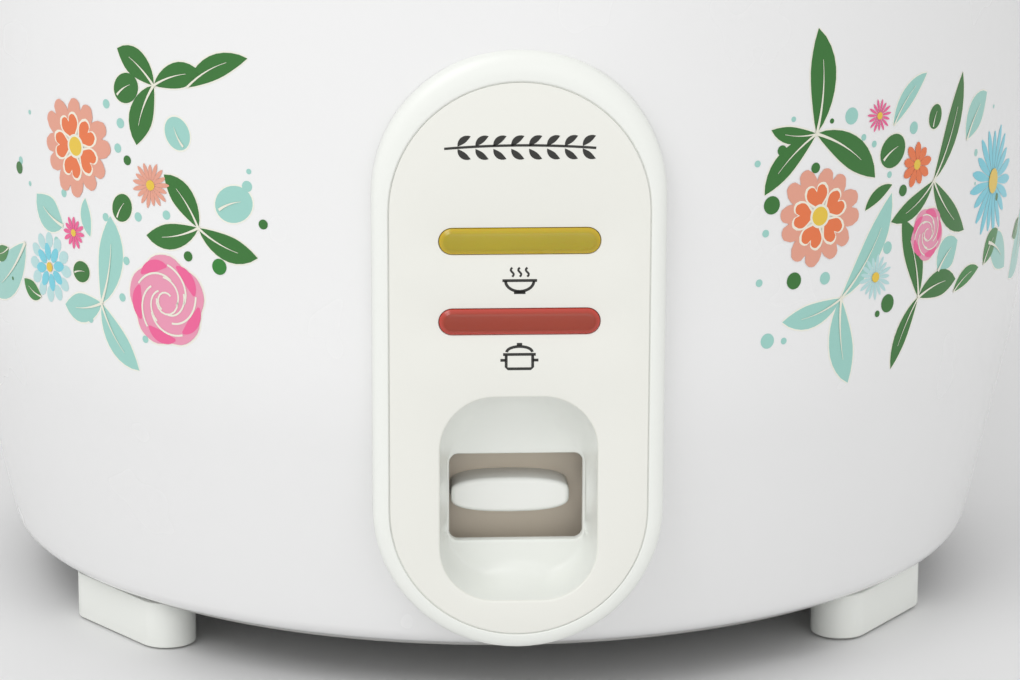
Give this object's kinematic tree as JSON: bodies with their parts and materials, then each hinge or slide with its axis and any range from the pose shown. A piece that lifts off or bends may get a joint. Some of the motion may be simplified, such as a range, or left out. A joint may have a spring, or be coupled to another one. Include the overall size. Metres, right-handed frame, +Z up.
{
  "type": "rice cooker",
  "caption": "Lever rice cooker: round white shell on feet, front panel with lamp bars and lever knob, side handles, lift-out pot and glass lid.",
  "frame": {"origin": "on the table surface, under the middle of the cooker's bounding box", "axes": "+Z up, -Y the front with the control panel, +X the side of the right-hand handle, seen from the front"},
  "size_m": [0.332, 0.2814, 0.2592],
  "materials": {
    "enamel": "gloss",
    "rim_steel": "satin",
    "sheet_steel": "matte",
    "white_plastic": "semi-gloss",
    "bezel_plastic": "semi-gloss",
    "ivory_plastic": "satin",
    "amber_lens": "translucent gloss",
    "red_lens": "translucent gloss",
    "rubber": "matte",
    "screw_steel": "satin",
    "cream_plastic": "matte",
    "lamp_glass": "clear",
    "cast_aluminium": "as cast",
    "dark_steel": "matte",
    "brass": "satin",
    "spring_steel": "satin",
    "black_plastic": "matte",
    "mica": "matte",
    "pot_aluminium": "satin",
    "lid_glass": "clear gloss",
    "tan_plastic": "matte",
    "red_plastic": "matte"
  },
  "bodies": {
    "root": {"body_shell": "enamel", "body_rim": "rim_steel", "inner_liner": "sheet_steel", "base_cover": "sheet_steel", "foot_front_left": "white_plastic", "foot_front_right": "white_plastic", "foot_rear_left": "white_plastic", "foot_rear_right": "white_plastic", "foot_pads": "rubber", "foot_screws": "screw_steel", "handle_left": "white_plastic", "handle_right": "white_plastic", "handle_screws": "screw_steel", "panel_bezel": "bezel_plastic", "face_plate": "ivory_plastic", "warm_lens": "amber_lens", "cook_lens": "red_lens", "bezel_screws": "screw_steel", "lamp_holder": "cream_plastic", "warm_lamp": "lamp_glass", "cook_lamp": "lamp_glass", "heating_plate": "cast_aluminium", "heating_element": "dark_steel", "element_terminals": "brass", "plate_posts": "screw_steel", "post_screws": "screw_steel", "sensor_bracket": "sheet_steel", "bracket_bolts": "screw_steel", "sensor_housing": "sheet_steel", "sensor_spring": "spring_steel", "lever_bracket": "sheet_steel", "lever_rivets": "screw_steel", "lever_pin": "screw_steel", "lever_spring": "spring_steel", "switch_body": "black_plastic", "switch_screws": "screw_steel", "thermal_fuse": "cream_plastic", "fuse_clip": "sheet_steel", "warm_heater": "mica", "terminal_block": "cream_plastic", "power_inlet": "black_plastic", "inlet_pins": "brass", "inlet_screws": "screw_steel"},
    "pot": {"inner_pot": "pot_aluminium"},
    "lid": {"lid_glass": "lid_glass", "lid_rim": "rim_steel", "vent_grommet": "rim_steel", "lid_knob": "white_plastic", "knob_washer": "rubber", "knob_screw": "screw_steel"},
    "sensor": {"sensor_cap": "pot_aluminium", "sensor_ferrite": "dark_steel"},
    "lever": {"lever_arm": "sheet_steel", "lever_knob": "white_plastic", "dust_shield": "tan_plastic"},
    "magnet": {"magnet_rod": "dark_steel"},
    "plunger": {"switch_plunger": "red_plastic"}
  },
  "joints": [
    {"name": "pot_lift", "type": "slide", "parent": "root", "child": "pot", "axis": [0, 0, 1], "range_m": [0, 0.2]},
    {"name": "lid_lift", "type": "slide", "parent": "pot", "child": "lid", "axis": [0, 0, 1], "range_m": [0, 0.12]},
    {"name": "sensor_press", "type": "slide", "parent": "root", "child": "sensor", "axis": [0, 0, 1], "range_m": [-0.003, 0], "stiffness_N_per_m": 300, "springref_m": 0.006, "deforming": ["sensor_spring"]},
    {"name": "lever_press", "type": "hinge", "parent": "root", "child": "lever", "pos_m": [0, -0.05, 0.032], "axis": [1, 0, 0], "range_deg": [0, 4], "stiffness_Nm_per_rad": 0.6, "springref_deg": -8.59, "deforming": ["lever_spring"]},
    {"name": "magnet_lift", "type": "slide", "parent": "root", "child": "magnet", "axis": [0, 0, 1], "range_m": [0, 0.0035]},
    {"name": "switch_press", "type": "slide", "parent": "root", "child": "plunger", "axis": [0, 0, -1], "range_m": [0, 0.00147]}
  ],
  "couplings": [
    {"joint": "magnet_lift", "follows": "lever_press", "m_per_rad": 0.05},
    {"joint": "switch_press", "follows": "lever_press", "m_per_rad": 0.021}
  ]
}
